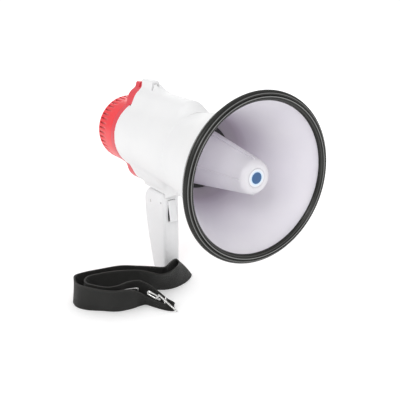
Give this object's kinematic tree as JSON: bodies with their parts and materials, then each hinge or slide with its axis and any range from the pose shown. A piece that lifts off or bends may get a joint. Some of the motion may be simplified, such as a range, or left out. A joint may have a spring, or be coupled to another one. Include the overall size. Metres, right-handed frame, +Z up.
{
  "type": "handheld megaphone",
  "caption": "Handheld megaphone with a reflex horn, ribbed twist-off rear cap, folding pistol grip with trigger, and a webbing strap.",
  "frame": {"origin": "centre of the flat foot of the pistol grip, on the table it stands on", "axes": "+Z up; horn axis along Y, mouth facing -Y, rear cap towards +Y; +X to the right seen from the rear"},
  "size_m": [0.267, 0.3464, 0.305],
  "materials": {
    "white_abs": "satin moulded",
    "red_abs": "satin moulded",
    "black_rubber": "satin",
    "black_abs": "matte",
    "blue_inlay": "gloss",
    "plated_steel": "bright",
    "black_steel": "plain",
    "ferrite": "matte",
    "film": "gloss",
    "copper": "bright",
    "cell_jacket": "gloss",
    "circuit_board": "satin",
    "lamp": "gloss",
    "lead_jacket": "satin",
    "webbing": "woven"
  },
  "bodies": {
    "body": {"amplifier_board": "circuit_board", "battery_cells": "cell_jacket", "battery_contacts": "plated_steel", "battery_holder": "black_abs", "battery_springs": "plated_steel", "bezel_screws": "plated_steel", "board_components": "circuit_board", "board_screws": "plated_steel", "diaphragm": "film", "driver_front": "black_abs", "driver_screws": "plated_steel", "horn_bell": "white_abs", "magnet": "ferrite", "magnet_yoke": "black_steel", "main_body": "white_abs", "nose_badge": "blue_inlay", "nose_reflector": "white_abs", "nose_screws": "plated_steel", "rear_bezel": "red_abs", "rim_gasket": "black_rubber", "snap_hook": "plated_steel", "strap_slider": "plated_steel", "strap_webbing": "webbing", "throat_plate": "black_abs", "throat_tube": "black_abs", "top_plate": "black_steel", "voice_coil": "copper"},
    "rear_cap": {"rear_cap": "red_abs", "mic_grille": "black_abs", "mic_boot": "black_rubber", "mic_capsule": "plated_steel", "control_board": "circuit_board", "volume_pot": "plated_steel", "mode_switch": "black_abs", "button_switches": "black_abs", "status_lamp": "lamp"},
    "volume_knob": {"volume_knob": "white_abs"},
    "mode_slider": {"mode_slider": "white_abs"},
    "record_button": {"record_button": "black_rubber"},
    "play_button": {"play_button": "black_rubber"},
    "carry_ring": {"carry_ring": "plated_steel"},
    "grip": {"grip_left": "white_abs", "grip_right": "white_abs", "grip_screws": "plated_steel", "fold_pin": "plated_steel", "trigger_pin": "plated_steel", "trigger_spring": "plated_steel", "talk_switch": "black_abs", "switch_leads": "lead_jacket"},
    "trigger": {"trigger": "white_abs", "trigger_lever": "black_abs"},
    "hook_gate": {"hook_gate": "plated_steel"}
  },
  "joints": [
    {"name": "cap_twist", "type": "hinge", "parent": "body", "child": "rear_cap", "pos_m": [0, 0.082, 0.2], "axis": [0, 1, 0], "range_deg": [0, 30]},
    {"name": "volume_turn", "type": "hinge", "parent": "rear_cap", "child": "volume_knob", "pos_m": [0.0245, 0.115, 0.2], "axis": [0, 1, 0], "range_deg": [0, 270]},
    {"name": "mode_slide", "type": "slide", "parent": "rear_cap", "child": "mode_slider", "axis": [0, 0, 1], "range_m": [-0.004, 0.004]},
    {"name": "record_press", "type": "slide", "parent": "rear_cap", "child": "record_button", "axis": [0, -1, 0], "range_m": [0, 0.0015]},
    {"name": "play_press", "type": "slide", "parent": "rear_cap", "child": "play_button", "axis": [0, -1, 0], "range_m": [0, 0.0015]},
    {"name": "ring_swing", "type": "hinge", "parent": "body", "child": "carry_ring", "pos_m": [0, 0.038, 0.277], "axis": [0, -1, 0], "range_deg": [0, 248]},
    {"name": "grip_fold", "type": "hinge", "parent": "body", "child": "grip", "pos_m": [0, 0.022, 0.107], "axis": [1, 0, 0], "range_deg": [0, 90]},
    {"name": "trigger_pull", "type": "hinge", "parent": "grip", "child": "trigger", "pos_m": [0, -0.008, 0.112], "axis": [1, 0, 0], "range_deg": [0, 7]},
    {"name": "gate_open", "type": "hinge", "parent": "body", "child": "hook_gate", "pos_m": [-0.07448, -0.09325, 0.0241], "axis": [-0.7511, -0.6601, 0], "range_deg": [0, 20]}
  ]
}
